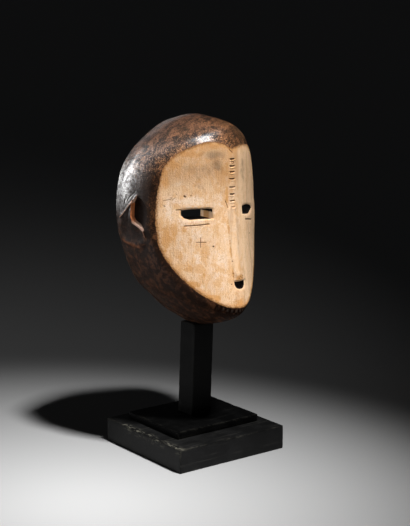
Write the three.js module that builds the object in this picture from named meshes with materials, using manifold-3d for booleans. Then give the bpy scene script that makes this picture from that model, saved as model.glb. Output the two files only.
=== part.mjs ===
// A carved wooden face mask, hollow behind, on a square post, a thin plate and a plinth block.
// Millimetres, +Z up. The mask looks along -Y, and its own left side is +X.
// The origin is the middle of the plinth block's underside.
import * as THREE from 'three';
import { mergeVertices } from 'three/addons/utils/BufferGeometryUtils.js';
import Module from 'manifold-3d';

const wasm = await Module();
wasm.setup();

// Clear space between pieces that touch
const gap = 0.3;

const block = { side: 150, height: 28, edge: 1.2 };
const plate = { width: 117, depth: 100, height: 8.5, edge: 0.8, x: 2.5, y: 6 };
const post = { side: 28, edge: 0.8, footX: 7, footY: 9.5, headX: 10.2, headY: 8.2, top: 147.6 };

// The mask's middle plane, the height that its outlines are measured round, and its wood
const mask = {
  middleX: 7.5,
  centreHeight: 262,
  rimY: 51,
  faceThickness: 24,
  edgeThickness: 13,
  wallThickness: 15,
  rimThickness: 11,
};

// Half outlines seen from the front, from the lowest point to the highest: [sideways, height]
const faceOutline = [
  [0, 180.6], [15, 182.2], [29.5, 190.3], [42.1, 201.1], [54.1, 216.6], [63.2, 233.2],
  [68.8, 250], [71, 272], [70.2, 296], [67, 320], [62.8, 338], [53.5, 351.5],
  [40, 360.5], [27, 365.8], [18, 366.6], [10, 364.4], [4, 360.8], [0, 358.8],
];
const rimOutline = [
  [0, 151], [12, 156.5], [23, 166], [34.5, 177.5], [53.5, 196.5], [65, 217], [73.5, 240],
  [79, 259], [81.4, 283], [79.8, 307], [73.5, 331], [60.5, 349.5], [39, 367], [18, 379.5],
  [0, 384],
];

// The face's middle line from the chin to above the brow: [height, Y]
const middleLine = [
  [180, -79.2], [190, -77.7], [201, -75.8], [218.6, -72.9], [245, -68.2], [268, -65.2],
  [293, -62.5], [325, -62], [347, -61.7], [359, -60.8], [368, -60],
];

// To each side of the middle line the face falls away, first as a soft ridge and then in a bend
const keel = { slope: 0.433, ridgeRadius: 6, bend: 0.00442 };
const keelByHeight = [
  [180, 1.17], [205, 1.17], [240, 1.09], [275, 1], [310, 1], [350, 1.06], [370, 1.06],
];

const nose = { halfWidth: 6.3, rise: 2.5, top: 300, bottom: 212, fade: 10 };

// The eyes' outlines seen from the front, cut straight through: [sideways, height]
const rightEye = [
  [-21.4, 292], [-30, 292.3], [-42, 291.6], [-49.8, 290.3],
  [-49.8, 282.3], [-46, 279.8], [-37, 280.4], [-21.4, 281.2],
];
const leftEye = [
  [20, 291.5], [20, 281.6], [36, 280.4], [44, 280.2], [51, 282.6],
  [51.5, 284.5], [46.5, 287.8], [36, 290.6], [30, 291.3],
];

const mouth = { middle: 2, halfWidth: 6.9, bottom: 201.3, top: 210.4, corner: 2.5 };
const notch = {
  halfWidth: 4.8,
  depth: 1.2,
  heights: [346.9, 339, 332.4, 324.8, 315.4, 307.6, 299.9, 293],
};

// Behind the face edge the wood rolls over into the side wall, which swells on its way to the rim.
// By the angle round the face: the roll's distance from the centre, how far back it lies, the swell
const rollRadius = [
  [-90, 91.5], [-60, 83], [-30, 75.2], [0, 75.3], [25, 83.2],
  [45, 99], [65, 112], [78, 115.5], [90, 116.3],
];
const rollBack = [[-90, 3.5], [-60, 5], [-30, 6], [0, 6], [45, 8], [90, 13]];
const swell = [[-90, 4.6], [-45, 2.5], [0, 2.5], [45, 5], [90, 8.2]];
const swellPlace = 0.6;

// Outside, the left of the face edge and of the roll isn't quite the mirror of the right: the distance
// added to them, by the angle round the face
const leftEdge = [
  [-90, 0], [-60, -1.5], [-35, -0.3], [5, -0.6], [30, -1.4], [50, -3],
  [66, -2.2], [75, -5.4], [80, -6], [84.5, -4], [88, -0.8], [90, 0],
];
const leftRoll = [
  [-95, 0], [-84, -2.2], [-75, -3], [-60, -2.8], [-40, -0.7], [0, -0.8], [30, -1.9],
  [50, -3.2], [62, -1.8], [71, 0.8], [80, 2.9], [90, 1.2], [100, 0],
];

// The ears, carved low on the side walls: paths of [Y, height]
const ear = {
  outerFold: [
    [9, 303], [19, 298], [30, 288], [41, 277], [43, 262],
    [38, 250], [24, 246], [8, 248], [-4, 258], [-4, 268],
  ],
  innerFold: [[19, 297], [15, 286], [14, 277], [6, 272], [-4, 268]],
  foldRadius: 3,
  foldSink: 1,
  hollow: 3,
  hollowEdge: 8,
};

// Counts of facets
const faceRings = 12;
const wallRings = 14;
const innerWallRings = 5;
const innerFaceRings = 6;
const earColumns = { from: -15, to: 35, step: 10 / 3 };
const plainColumnStep = 5;

// A smooth function through [place, value] pairs in rising order
function smoothThrough(pairs) {
  const slopes = pairs.map((pair, index) => {
    const before = pairs[Math.max(index - 1, 0)];
    const after = pairs[Math.min(index + 1, pairs.length - 1)];
    return (after[1] - before[1]) / (after[0] - before[0]);
  });
  return (place) => {
    let index = 0;
    while (index < pairs.length - 2 && place > pairs[index + 1][0]) index += 1;
    const [x0, y0] = pairs[index];
    const [x1, y1] = pairs[index + 1];
    const span = x1 - x0;
    const t = THREE.MathUtils.clamp((place - x0) / span, 0, 1);
    const rise = t * t * (3 - 2 * t);
    const lead = t * (1 - t) * (1 - t) * span * slopes[index];
    const trail = t * t * (t - 1) * span * slopes[index + 1];
    return y0 + (y1 - y0) * rise + lead + trail;
  };
}

// The distance from the centre to a half outline, by the angle in degrees from -90 below to 90 above
function radiusOf(outline) {
  const polar = outline.map(([side, height]) => {
    const rise = height - mask.centreHeight;
    return [THREE.MathUtils.radToDeg(Math.atan2(rise, side)), Math.hypot(side, rise)];
  });
  const last = polar.length - 1;
  const below = [-180 - polar[1][0], polar[1][1]];
  const above = [180 - polar[last - 1][0], polar[last - 1][1]];
  return smoothThrough([below, ...polar, above]);
}

const faceRadius = radiusOf(faceOutline);
const rimRadius = radiusOf(rimOutline);
const middleY = smoothThrough(middleLine);
const keelAt = smoothThrough(keelByHeight);
const rollRadiusAt = smoothThrough(rollRadius);
const rollBackAt = smoothThrough(rollBack);
const swellAt = smoothThrough(swell);
const leftEdgeAt = smoothThrough(leftEdge);
const leftRollAt = smoothThrough(leftRoll);

// Y of the face's surface under the nose
function faceY(side, height) {
  const ridge = Math.hypot(side, keel.ridgeRadius) - keel.ridgeRadius;
  const fall = keel.slope * ridge + keel.bend * side * side;
  return middleY(height) + fall * keelAt(height);
}

function distanceToPath(path, y, height) {
  let nearest = Infinity;
  for (let index = 1; index < path.length; index += 1) {
    const [y0, h0] = path[index - 1];
    const [dy, dh] = [path[index][0] - y0, path[index][1] - h0];
    const share = ((y - y0) * dy + (height - h0) * dh) / (dy * dy + dh * dh);
    const along = THREE.MathUtils.clamp(share, 0, 1);
    nearest = Math.min(nearest, Math.hypot(y - y0 - along * dy, height - h0 - along * dh));
  }
  return nearest;
}

function insideLoop(loop, y, height) {
  let inside = false;
  loop.forEach(([y1, h1], index) => {
    const [y0, h0] = loop[(index + loop.length - 1) % loop.length];
    const crosses = (h1 > height) !== (h0 > height);
    if (crosses && y < y1 + ((height - h1) * (y0 - y1)) / (h0 - h1)) inside = !inside;
  });
  return inside;
}

// How deep the side wall is scooped out within the ear
function earHollow(y, height) {
  if (!insideLoop(ear.outerFold, y, height)) return 0;
  const inward = distanceToPath(ear.outerFold, y, height);
  return ear.hollow * THREE.MathUtils.smoothstep(inward, 0, ear.hollowEdge);
}

// A point given by the angle round the face, the distance from the centre and Y
function pointAt(angle, radius, y) {
  const turn = THREE.MathUtils.degToRad(angle);
  return new THREE.Vector3(radius * Math.cos(turn), y, mask.centreHeight + radius * Math.sin(turn));
}

// The side that the outlines give is 0 to 90 each way, so the other side folds over onto it
function foldedAngle(angle) {
  return Math.abs(angle) <= 90 ? angle : Math.sign(angle) * 180 - angle;
}

// The distance from the centre to the face edge
function edgeReach(angle) {
  return faceRadius(foldedAngle(angle)) + leftEdgeAt(angle);
}

function wallCurve(angle) {
  const folded = foldedAngle(angle);
  const edge = pointAt(angle, edgeReach(angle), 0);
  edge.y = faceY(edge.x, edge.z);
  const rollReach = rollRadiusAt(folded) + leftRollAt(angle);
  const roll = pointAt(angle, rollReach, edge.y + rollBackAt(folded));
  const girthY = THREE.MathUtils.lerp(edge.y, mask.rimY, swellPlace);
  const girth = pointAt(angle, rimRadius(folded) + swellAt(folded), girthY);
  const rim = pointAt(angle, rimRadius(folded), mask.rimY);
  return new THREE.CatmullRomCurve3([edge, roll, girth, rim], false, 'centripetal');
}

function innerCurve(angle) {
  const folded = foldedAngle(angle);
  const rim = pointAt(angle, rimRadius(folded) - mask.rimThickness, mask.rimY);
  const edge = pointAt(angle, faceRadius(folded) - mask.edgeThickness, 0);
  edge.y = faceY(edge.x, edge.z) + mask.faceThickness;
  const girthY = THREE.MathUtils.lerp(edge.y, mask.rimY, swellPlace);
  const girth = pointAt(angle, rimRadius(folded) + swellAt(folded) - mask.wallThickness, girthY);
  return new THREE.CatmullRomCurve3([rim, girth, edge], false, 'centripetal');
}

function evenly(from, to, step) {
  return Array.from({ length: Math.round((to - from) / step) }, (_, index) => from + index * step);
}

// The columns of facets stand closer together across the ears
function columnAngles() {
  const half = [
    ...evenly(-90, earColumns.from, plainColumnStep),
    ...evenly(earColumns.from, earColumns.to, earColumns.step),
    ...evenly(earColumns.to, 90, plainColumnStep),
    90,
  ];
  const mirrored = half.slice(1, -1).reverse().map((angle) => 180 - angle);
  return [...half, ...mirrored].map((angle) => (angle > 180 ? angle - 360 : angle));
}

// One column of points: from the middle of the face, over its edge, to the rim and back inside
function columnOf(angle) {
  const points = [];
  for (let ring = 1; ring < faceRings; ring += 1) {
    const point = pointAt(angle, (edgeReach(angle) * ring) / faceRings, 0);
    point.y = faceY(point.x, point.z);
    points.push(point);
  }
  const outer = wallCurve(angle);
  for (let ring = 0; ring <= wallRings; ring += 1) {
    const point = outer.getPoint(ring / wallRings);
    point.x -= Math.sign(point.x) * earHollow(point.y, point.z);
    points.push(point);
  }
  const inner = innerCurve(angle);
  points.push(...inner.getPoints(innerWallRings));
  for (let ring = innerFaceRings - 1; ring > 0; ring -= 1) {
    const reach = faceRadius(foldedAngle(angle)) - mask.edgeThickness;
    const point = pointAt(angle, (reach * ring) / innerFaceRings, 0);
    point.y = faceY(point.x, point.z) + mask.faceThickness;
    points.push(point);
  }
  return points;
}

// Joins columns of points into one closed skin, with a first and a last point of their own
function skinOf(columns, first, last) {
  const rings = columns[0].length;
  const positions = [first, ...columns.flat(), last].flatMap((point) => point.toArray());
  const at = (column, ring) => 1 + (column % columns.length) * rings + ring;
  const end = 1 + columns.length * rings;
  const faces = [];
  for (let column = 0; column < columns.length; column += 1) {
    faces.push(0, at(column, 0), at(column + 1, 0));
    for (let ring = 0; ring < rings - 1; ring += 1) {
      const [near, nearNext] = [at(column, ring), at(column, ring + 1)];
      const [far, farNext] = [at(column + 1, ring), at(column + 1, ring + 1)];
      faces.push(near, nearNext, farNext, near, farNext, far);
    }
    faces.push(at(column, rings - 1), end, at(column + 1, rings - 1));
  }
  const geometry = new THREE.BufferGeometry();
  geometry.setAttribute('position', new THREE.Float32BufferAttribute(positions, 3));
  geometry.setIndex(faces);
  return geometry;
}

function solidOf(geometry) {
  const bare = geometry.clone();
  bare.deleteAttribute('normal');
  bare.deleteAttribute('uv');
  const merged = mergeVertices(bare, 1e-4);
  return new wasm.Manifold(new wasm.Mesh({
    numProp: 3,
    vertProperties: new Float32Array(merged.attributes.position.array),
    triVerts: new Uint32Array(merged.index.array),
  }));
}

function geometryOf(solid) {
  const mesh = solid.getMesh();
  const geometry = new THREE.BufferGeometry();
  const positions = new Float32Array(mesh.vertProperties);
  geometry.setAttribute('position', new THREE.BufferAttribute(positions, 3));
  geometry.setIndex(new THREE.BufferAttribute(new Uint32Array(mesh.triVerts), 1));
  return geometry;
}

// An outline in the X and Z directions, extruded along Y between two places
function alongY(shape, fromY, toY) {
  const options = { depth: toY - fromY, bevelEnabled: false, curveSegments: 5 };
  const geometry = new THREE.ExtrudeGeometry(shape, options);
  geometry.rotateX(Math.PI / 2);
  geometry.translate(0, toY, 0);
  return geometry;
}

function eyeShape(outline) {
  return new THREE.Shape(outline.map(([side, height]) => new THREE.Vector2(side, height)));
}

// Straight above and round below, and a little to one side of the middle
function mouthShape() {
  const [low, high] = [mouth.middle - mouth.halfWidth, mouth.middle + mouth.halfWidth];
  const straight = mouth.top - mouth.corner;
  const shape = new THREE.Shape();
  shape.moveTo(high, mouth.top);
  shape.lineTo(low, mouth.top);
  shape.lineTo(low, straight);
  shape.bezierCurveTo(
    low, mouth.bottom, mouth.middle - mouth.corner, mouth.bottom, mouth.middle, mouth.bottom,
  );
  shape.bezierCurveTo(
    mouth.middle + mouth.corner, mouth.bottom, high, mouth.bottom, high, straight,
  );
  return shape;
}

// The point of the side wall at a given Y and height, on the left (1) or the right (-1)
function wallPoint(side, y, height) {
  let point = new THREE.Vector3(rimRadius(0), y, height);
  for (let pass = 0; pass < 4; pass += 1) {
    const angle = THREE.MathUtils.radToDeg(Math.atan2(height - mask.centreHeight, point.x));
    const curve = wallCurve(angle);
    let [low, high] = [0, 1];
    for (let halving = 0; halving < 16; halving += 1) {
      const middle = (low + high) / 2;
      if (curve.getPoint(middle).y < y) low = middle;
      else high = middle;
    }
    point = curve.getPoint(low);
  }
  return new THREE.Vector3(side * point.x, y, height);
}

// A rounded fold of the ear, half sunk in the side wall along a path
function earFold(side, path) {
  const sink = new THREE.Vector3(-side * ear.foldSink, 0, 0);
  const points = path.map(([y, height]) => wallPoint(side, y, height).add(sink));
  const curve = new THREE.CatmullRomCurve3(points, false, 'centripetal');
  const round = new THREE.EllipseCurve(0, 0, ear.foldRadius, ear.foldRadius).getPoints(8).slice(1);
  const options = { steps: 3 * (path.length - 1), bevelEnabled: false, extrudePath: curve };
  return new THREE.ExtrudeGeometry(new THREE.Shape(round), options);
}

// How much of the nose's full height stands at a given height; it fades at both ends
function noseShare(height) {
  const fromEnd = Math.min(height - nose.bottom, nose.top - height);
  return THREE.MathUtils.smoothstep(fromEnd, 0, nose.fade);
}

// The long low nose, a band that lies on the middle of the face
function noseBand() {
  const acrossFront = [1, 0.85, 0.5, 0, -0.5, -0.85, -1];
  const stations = 16;
  const buried = 4;
  const columns = [...acrossFront, -1, 0, 1].map((across, index) => {
    const column = [];
    for (let station = 0; station <= stations; station += 1) {
      const height = THREE.MathUtils.lerp(nose.bottom, nose.top, station / stations);
      const side = across * nose.halfWidth * (0.6 + 0.4 * noseShare(height));
      const rise = nose.rise * noseShare(height) * (1 - across ** 4) - 0.2;
      const out = index < acrossFront.length ? rise : -buried;
      column.push(new THREE.Vector3(side, faceY(side, height) - out, height));
    }
    return column;
  });
  const endAt = (height) => new THREE.Vector3(0, faceY(0, height) + buried / 2, height);
  return skinOf(columns, endAt(nose.bottom), endAt(nose.top));
}

// A wedge that cuts a notch straight across the brow ridge
function notchWedge(height) {
  const ridgeY = faceY(0, height) - nose.rise * noseShare(height);
  const section = new THREE.Shape([
    new THREE.Vector2(ridgeY - notch.depth, height - notch.depth),
    new THREE.Vector2(ridgeY + notch.depth, height),
    new THREE.Vector2(ridgeY - notch.depth, height + notch.depth),
  ]);
  const options = { depth: notch.halfWidth * 2, bevelEnabled: false };
  const geometry = new THREE.ExtrudeGeometry(section, options);
  const axes = [new THREE.Vector3(0, 1, 0), new THREE.Vector3(0, 0, 1), new THREE.Vector3(1, 0, 0)];
  geometry.applyMatrix4(new THREE.Matrix4().makeBasis(...axes));
  geometry.translate(-notch.halfWidth, 0, 0);
  return geometry;
}

function maskSolid() {
  const front = new THREE.Vector3(0, faceY(0, mask.centreHeight), mask.centreHeight);
  const back = front.clone().add(new THREE.Vector3(0, mask.faceThickness, 0));
  const skin = skinOf(columnAngles().map(columnOf), front, back);
  const shapes = [eyeShape(rightEye), eyeShape(leftEye), mouthShape()];
  const holes = shapes.map((shape) => alongY(shape, -90, 30));
  const cuts = [...holes, ...notch.heights.map(notchWedge)];
  const paths = [ear.outerFold, ear.innerFold];
  const folds = [-1, 1].flatMap((side) => paths.map((path) => earFold(side, path)));
  const raised = [noseBand(), ...folds];
  const whole = raised.reduce((solid, extra) => solid.add(solidOf(extra)), solidOf(skin));
  return cuts.reduce((solid, cut) => solid.subtract(solidOf(cut)), whole);
}

// A flat square-cornered board with its upper and lower edges slightly broken
function board(width, depth, height, edge) {
  const shape = new THREE.Shape();
  const [halfWidth, halfDepth] = [width / 2 - edge, depth / 2 - edge];
  shape.moveTo(-halfWidth, -halfDepth);
  shape.lineTo(halfWidth, -halfDepth);
  shape.lineTo(halfWidth, halfDepth);
  shape.lineTo(-halfWidth, halfDepth);
  const geometry = new THREE.ExtrudeGeometry(shape, {
    depth: height - 2 * edge, bevelSize: edge, bevelThickness: edge, bevelSegments: 1,
  });
  geometry.translate(0, 0, edge);
  return geometry;
}

// The post leans a little; its head is hollowed to take the underside of the mask
function postSolid(seat) {
  const foot = block.height + plate.height + 2 * gap;
  const height = post.top - foot;
  const geometry = board(post.side, post.side, height, post.edge);
  const leanX = (post.headX - post.footX) / height;
  const leanY = (post.headY - post.footY) / height;
  geometry.applyMatrix4(new THREE.Matrix4().makeShear(0, 0, 0, 0, leanX, leanY));
  geometry.translate(post.footX, post.footY, foot);
  return solidOf(geometry).subtract(seat.translate([mask.middleX, 0, -gap]));
}

function named(name, geometry, material) {
  const mesh = new THREE.Mesh(geometry, material);
  mesh.name = name;
  return mesh;
}

function wood(color, roughness) {
  return new THREE.MeshStandardMaterial({ color, roughness, metalness: 0 });
}

const carving = maskSolid();
const maskMesh = named('mask', geometryOf(carving), wood(0x9a6f47, 0.6));
maskMesh.position.x = mask.middleX;

const postMesh = named('stand_post', geometryOf(postSolid(carving)), wood(0x14130f, 0.45));

const plateBoard = board(plate.width, plate.depth, plate.height, plate.edge);
const plateMesh = named('stand_plate', plateBoard, wood(0x14130f, 0.45));
plateMesh.position.set(plate.x, plate.y, block.height + gap);

const blockBoard = board(block.side, block.side, block.height, block.edge);
const blockMesh = named('stand_block', blockBoard, wood(0x14130f, 0.5));

const object = new THREE.Group();
object.add(maskMesh, postMesh, plateMesh, blockMesh);

export default object;
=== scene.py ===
import math
from bisect import bisect
from functools import lru_cache

import bmesh
import bpy
from mathutils import Matrix, Vector, noise


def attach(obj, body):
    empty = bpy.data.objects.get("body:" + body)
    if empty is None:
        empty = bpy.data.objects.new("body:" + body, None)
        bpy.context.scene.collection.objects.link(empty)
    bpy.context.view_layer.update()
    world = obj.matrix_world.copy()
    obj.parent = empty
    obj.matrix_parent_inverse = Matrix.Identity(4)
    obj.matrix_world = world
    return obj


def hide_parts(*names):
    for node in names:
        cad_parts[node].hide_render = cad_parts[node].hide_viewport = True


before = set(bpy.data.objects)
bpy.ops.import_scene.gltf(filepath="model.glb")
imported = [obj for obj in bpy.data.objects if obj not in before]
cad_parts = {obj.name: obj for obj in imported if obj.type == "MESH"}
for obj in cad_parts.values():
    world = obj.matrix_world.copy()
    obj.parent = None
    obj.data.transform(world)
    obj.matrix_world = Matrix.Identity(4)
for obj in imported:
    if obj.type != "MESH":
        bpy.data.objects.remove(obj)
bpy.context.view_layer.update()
print("frame loaded:", ", ".join(sorted(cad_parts)))

metre = 0.001  # one millimetre; the designs below are in millimetres

# The mask looks along -Y. Sideways is counted from its middle plane, heights from the floor.
maskDesign = {
    "middleX": 7.5,
    "centreHeight": 262,
    "rimY": 51,
    "faceThickness": 24,
    "edgeThickness": 13,
    "wallThickness": 15,
    "rimThickness": 11,
    "faceOutline": [
        (0, 180.6), (15, 182.2), (29.5, 190.3), (42.1, 201.1), (54.1, 216.6), (63.2, 233.2),
        (68.8, 250), (71, 272), (70.2, 296), (67, 320), (62.8, 338), (53.5, 351.5),
        (40, 360.5), (27, 365.8), (18, 366.6), (10, 364.4), (4, 360.8), (0, 358.8),
    ],
    "rimOutline": [
        (0, 151), (12, 156.5), (23, 166), (34.5, 177.5), (53.5, 196.5), (65, 217),
        (73.5, 240), (79, 259), (81.4, 283), (79.8, 307), (73.5, 331), (60.5, 349.5),
        (39, 367), (18, 379.5), (0, 384),
    ],
    "middleLine": [
        (180, -79.2), (190, -77.7), (201, -75.8), (218.6, -72.9), (245, -68.2), (268, -65.2),
        (293, -62.5), (325, -62), (347, -61.7), (359, -60.8), (368, -60),
    ],
    "keelSlope": 0.433,
    "keelRadius": 6,
    "keelBend": 0.00442,
    "keelByHeight": [
        (180, 1.17), (205, 1.17), (240, 1.09), (275, 1), (310, 1), (350, 1.06), (370, 1.06),
    ],
    "rollRadius": [
        (-90, 91.5), (-60, 83), (-30, 75.2), (0, 75.3), (25, 83.2),
        (45, 99), (65, 112), (78, 115.5), (90, 116.3),
    ],
    "rollBack": [(-90, 3.5), (-60, 5), (-30, 6), (0, 6), (45, 8), (90, 13)],
    "swell": [(-90, 4.6), (-45, 2.5), (0, 2.5), (45, 5), (90, 8.2)],
    "swellPlace": 0.6,
    # added on the mask's left side only, by the angle round the face
    "leftEdge": [
        (-90, 0), (-60, -1.5), (-35, -0.3), (5, -0.6), (30, -1.4), (50, -3),
        (66, -2.2), (75, -5.4), (80, -6), (84.5, -4), (88, -0.8), (90, 0),
    ],
    "leftRoll": [
        (-95, 0), (-84, -2.2), (-75, -3), (-60, -2.8), (-40, -0.7), (0, -0.8), (30, -1.9),
        (50, -3.2), (62, -1.8), (71, 0.8), (80, 2.9), (90, 1.2), (100, 0),
    ],
    "columns": 264,
    "seamTurn": -135,
    # rows of facets: [row, place], with place 1 at the face edge, 2 and 3 at the rim, 4 inside
    # and 5 at the end
    "rows": [
        (0, 0), (68, 1), (128, 1.96), (132, 2), (134, 2.12), (138, 2.88), (140, 3),
        (144, 3.05), (162, 4), (174, 5),
    ],
    # how near to the face edge and to the rim's two edges the skin is smoothed, and how often
    "softEdge": 1.3, "softRimOuter": 0.012, "softRimInner": 0.013, "softSteps": 4,
    "wallSteps": 24,
    "hollowBehind": 15,  # a cut's corner that lies deeper than this is in the hollow
    "sharpFrom": 42,
}


def smoothThrough(pairs):
    places = [place for place, value in pairs]
    slopes = []
    for index in range(len(pairs)):
        before, after = pairs[max(index - 1, 0)], pairs[min(index + 1, len(pairs) - 1)]
        slopes.append((after[1] - before[1]) / (after[0] - before[0]))

    def valueAt(place):
        index = min(max(bisect(places, place) - 1, 0), len(pairs) - 2)
        (x0, y0), (x1, y1) = pairs[index], pairs[index + 1]
        span = x1 - x0
        t = min(max((place - x0) / span, 0), 1)
        lead = t * (1 - t) ** 2 * span * slopes[index]
        trail = t * t * (t - 1) * span * slopes[index + 1]
        return y0 + (y1 - y0) * t * t * (3 - 2 * t) + lead + trail

    return valueAt


def straightThrough(pairs):
    places = [place for place, value in pairs]

    def valueAt(place):
        index = min(max(bisect(places, place) - 1, 0), len(pairs) - 2)
        (x0, y0), (x1, y1) = pairs[index], pairs[index + 1]
        return y0 + (y1 - y0) * min(max((place - x0) / (x1 - x0), 0), 1)

    return valueAt


def radiusOf(outline):
    centre = maskDesign["centreHeight"]
    polar = [
        (math.degrees(math.atan2(height - centre, side)), math.hypot(side, height - centre))
        for side, height in outline
    ]
    below = (-180 - polar[1][0], polar[1][1])
    above = (180 - polar[-2][0], polar[-2][1])
    return smoothThrough([below, *polar, above])


faceRadius = radiusOf(maskDesign["faceOutline"])
rimRadius = radiusOf(maskDesign["rimOutline"])
middleY = smoothThrough(maskDesign["middleLine"])
keelAt = smoothThrough(maskDesign["keelByHeight"])
rollRadiusAt = smoothThrough(maskDesign["rollRadius"])
rollBackAt = smoothThrough(maskDesign["rollBack"])
swellAt = smoothThrough(maskDesign["swell"])
leftEdgeAt = smoothThrough(maskDesign["leftEdge"])
leftRollAt = smoothThrough(maskDesign["leftRoll"])
placeOfRow = straightThrough(maskDesign["rows"])


def faceY(side, height):
    ridge = math.hypot(side, maskDesign["keelRadius"]) - maskDesign["keelRadius"]
    fall = maskDesign["keelSlope"] * ridge + maskDesign["keelBend"] * side * side
    return middleY(height) + fall * keelAt(height)


def pointAt(turn, radius, y):
    angle = math.radians(turn)
    height = maskDesign["centreHeight"] + radius * math.sin(angle)
    return Vector((radius * math.cos(angle), y, height))


def onFace(turn, radius, behind=0):
    point = pointAt(turn, radius, 0)
    point.y = faceY(point.x, point.z) + behind
    return point


# The outlines give one side, and the other side folds over onto it
def foldedTurn(turn):
    return turn if abs(turn) <= 90 else math.copysign(180, turn) - turn


# A centripetal curve through a few points
def curveThrough(points):
    ends = [points[0] * 2 - points[1], *points, points[-1] * 2 - points[-2]]
    spans = []
    for before, start, end, after in zip(ends, ends[1:], ends[2:], ends[3:]):
        pairs = ((before, start), (start, end), (end, after))
        d0, d1, d2 = (math.sqrt((b - a).length) for a, b in pairs)
        lead = ((start - before) / d0 - (end - before) / (d0 + d1) + (end - start) / d1) * d1
        trail = ((end - start) / d1 - (after - start) / (d1 + d2) + (after - end) / d2) * d1
        bend = (end - start) * 3 - lead * 2 - trail
        spans.append((start, lead, bend, (start - end) * 2 + lead + trail))

    def at(t):
        place = t * len(spans)
        index = min(int(place), len(spans) - 1)
        w = place - index
        start, lead, bend, twist = spans[index]
        return start + lead * w + bend * w ** 2 + twist * w ** 3

    return at


# All that belongs to one direction round the face
@lru_cache(maxsize=None)
def columnShape(turn):
    design = maskDesign
    turn = (turn + 180) % 360 - 180
    folded = foldedTurn(turn)
    reach = faceRadius(folded) + leftEdgeAt(turn)
    rimReach = rimRadius(folded)
    girthReach = rimReach + swellAt(folded)
    edge = onFace(turn, reach)
    roll = pointAt(turn, rollRadiusAt(folded) + leftRollAt(turn), edge.y + rollBackAt(folded))
    girthY = edge.y + (design["rimY"] - edge.y) * design["swellPlace"]
    outer = curveThrough([
        edge, roll, pointAt(turn, girthReach, girthY), pointAt(turn, rimReach, design["rimY"]),
    ])
    innerReach = faceRadius(folded) - design["edgeThickness"]
    innerEdge = onFace(turn, innerReach, design["faceThickness"])
    innerGirthY = innerEdge.y + (design["rimY"] - innerEdge.y) * design["swellPlace"]
    inner = curveThrough([
        pointAt(turn, rimReach - design["rimThickness"], design["rimY"]),
        pointAt(turn, girthReach - design["wallThickness"], innerGirthY),
        innerEdge,
    ])
    steps = design["wallSteps"]
    lengths = [0]
    for step in range(steps):
        lengths.append(lengths[-1] + (outer((step + 1) / steps) - outer(step / steps)).length)
    shareAt = straightThrough([(length, step / steps) for step, length in enumerate(lengths)])
    return {"reach": reach, "innerReach": innerReach, "outer": outer, "inner": inner,
            "wallLength": lengths[-1], "shareAt": shareAt}


# A point of the bare skin, and how far along the wall it lies from the face edge, negative on
# the face
def skinPoint(turn, place):
    shape = columnShape(turn)
    if place <= 1:
        return onFace(turn, shape["reach"] * place), shape["reach"] * (place - 1)
    if place <= 2:
        length = shape["wallLength"] * (place - 1)
        return shape["outer"](shape["shareAt"](length)), length
    if place <= 3:
        across = shape["outer"](1).lerp(shape["inner"](0), place - 2)
        return across, shape["wallLength"] * (place - 1)
    if place <= 4:
        return shape["inner"](place - 3), shape["wallLength"] * 2
    reach = shape["innerReach"] * (5 - place)
    return onFace(turn, reach, maskDesign["faceThickness"]), shape["wallLength"] * 2


# The piercings: their outlines seen from the front, which of them are painted black inside as
# painted shade, and how far their worn edges reach
piercings = {
    "paintedShadeInside": {"rightEye": 0, "leftEye": 1, "mouth": 1},
    "rightEye": [
        (-21.4, 292), (-30, 292.3), (-42, 291.6), (-49.8, 290.3),
        (-49.8, 284.6), (-47.4, 281.2), (-42.6, 279.7), (-35, 280.5), (-21.4, 281.2),
    ],
    "leftEye": [
        (20, 291.5), (20.2, 282.4), (29, 280.6), (38, 279.6), (43, 281.6),
        (51.2, 283.8), (46, 287.6), (36, 290.6), (30, 291.5),
    ],
    "mouth": [
        (10.1, 210.1), (-5.1, 210.1), (-5.1, 206.6), (-4.2, 204.1), (-2.4, 202.1), (0.4, 201.3),
        (4.4, 201.3), (7.4, 202.1), (9.4, 204.1), (10.1, 206.6),
    ],
    "wornReach": 1.7,
    "wornDepth": 0.8,
    "searchReach": 30,
    "front": -90,
    "back": 30,
}

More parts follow.
